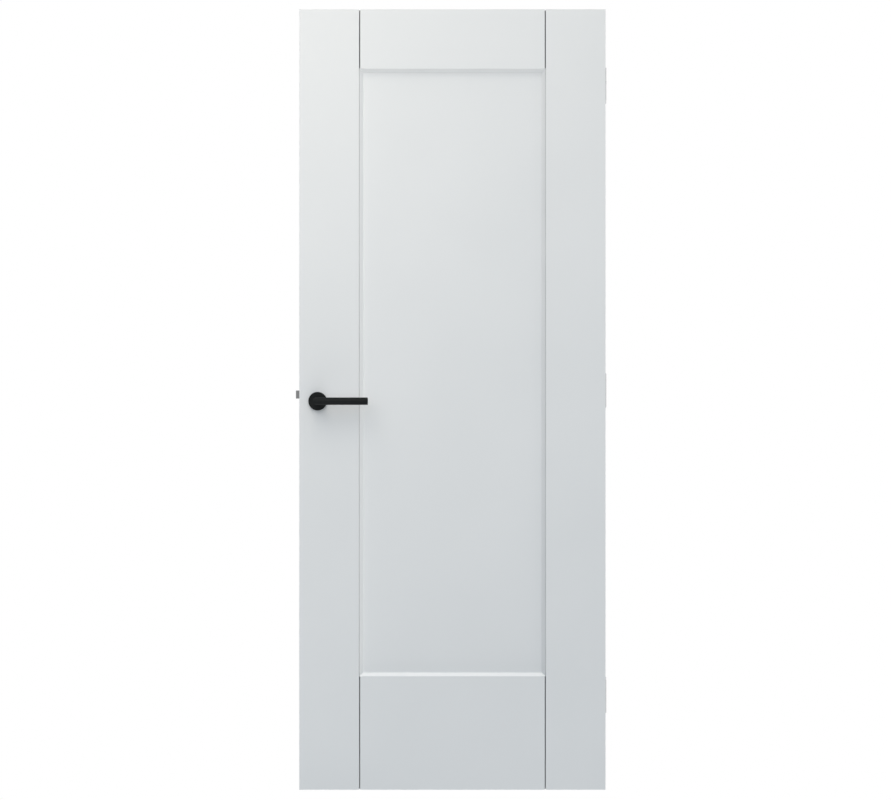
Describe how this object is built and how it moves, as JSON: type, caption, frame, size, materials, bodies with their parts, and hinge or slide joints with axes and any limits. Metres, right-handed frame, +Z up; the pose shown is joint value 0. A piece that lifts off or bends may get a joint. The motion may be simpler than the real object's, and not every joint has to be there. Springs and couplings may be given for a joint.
{
  "type": "panelled interior door",
  "caption": "White interior door leaf with a sunk flat panel, bevelled beads, black lever handles, latch lock and butt hinges.",
  "frame": {"origin": "centre of the flat back of the lower hinge's frame-side plate", "axes": "+Z up, +X out of the leaf's hinge edge into the jamb, front face of the leaf towards -Y"},
  "size_m": [0.8483, 0.15, 2.115],
  "materials": {
    "white_paint": "satin white paint",
    "black_handle": "matte black coat",
    "dark_screw": "black oxide",
    "lock_steel": "brushed",
    "latch_metal": "plated",
    "hinge_steel": "brushed"
  },
  "bodies": {
    "frame_hinges": {"lower_hinge_frame_plate": "hinge_steel", "lower_hinge_pin": "hinge_steel", "middle_hinge_frame_plate": "hinge_steel", "middle_hinge_pin": "hinge_steel", "upper_hinge_frame_plate": "hinge_steel", "upper_hinge_pin": "hinge_steel"},
    "leaf": {"lock_stile": "white_paint", "hinge_stile": "white_paint", "top_rail": "white_paint", "bottom_rail": "white_paint", "centre_panel": "white_paint", "front_bead_top": "white_paint", "front_bead_bottom": "white_paint", "front_bead_lock_side": "white_paint", "front_bead_hinge_side": "white_paint", "back_bead_top": "white_paint", "back_bead_bottom": "white_paint", "back_bead_lock_side": "white_paint", "back_bead_hinge_side": "white_paint", "front_rose": "black_handle", "back_rose": "black_handle", "lock_case": "lock_steel", "lock_faceplate": "lock_steel", "faceplate_screws": "lock_steel", "lower_hinge_leaf_plate": "hinge_steel", "lower_hinge_screws": "hinge_steel", "middle_hinge_leaf_plate": "hinge_steel", "middle_hinge_screws": "hinge_steel", "upper_hinge_leaf_plate": "hinge_steel", "upper_hinge_screws": "hinge_steel"},
    "lever": {"front_lever": "black_handle", "back_lever": "black_handle", "lever_grub_screws": "dark_screw", "lever_spindle": "lock_steel", "lock_follower": "lock_steel"},
    "latch": {"latch_bolt": "latch_metal"}
  },
  "joints": [
    {"name": "leaf_swing", "type": "hinge", "parent": "frame_hinges", "child": "leaf", "pos_m": [-0.00275, 0.02, 0], "axis": [0, 0, -1], "range_deg": [0, 170]},
    {"name": "lever_turn", "type": "hinge", "parent": "leaf", "child": "lever", "pos_m": [-0.7835, -0.0065, 0.803], "axis": [0, 1, 0], "range_deg": [0, 40], "stiffness_Nm_per_rad": 1.5, "springref_deg": -45.84},
    {"name": "latch_slide", "type": "slide", "parent": "leaf", "child": "latch", "axis": [1, 0, 0], "range_m": [0, 0.0115]}
  ],
  "couplings": [
    {"joint": "latch_slide", "follows": "lever_turn", "m_per_rad": 0.016473}
  ]
}
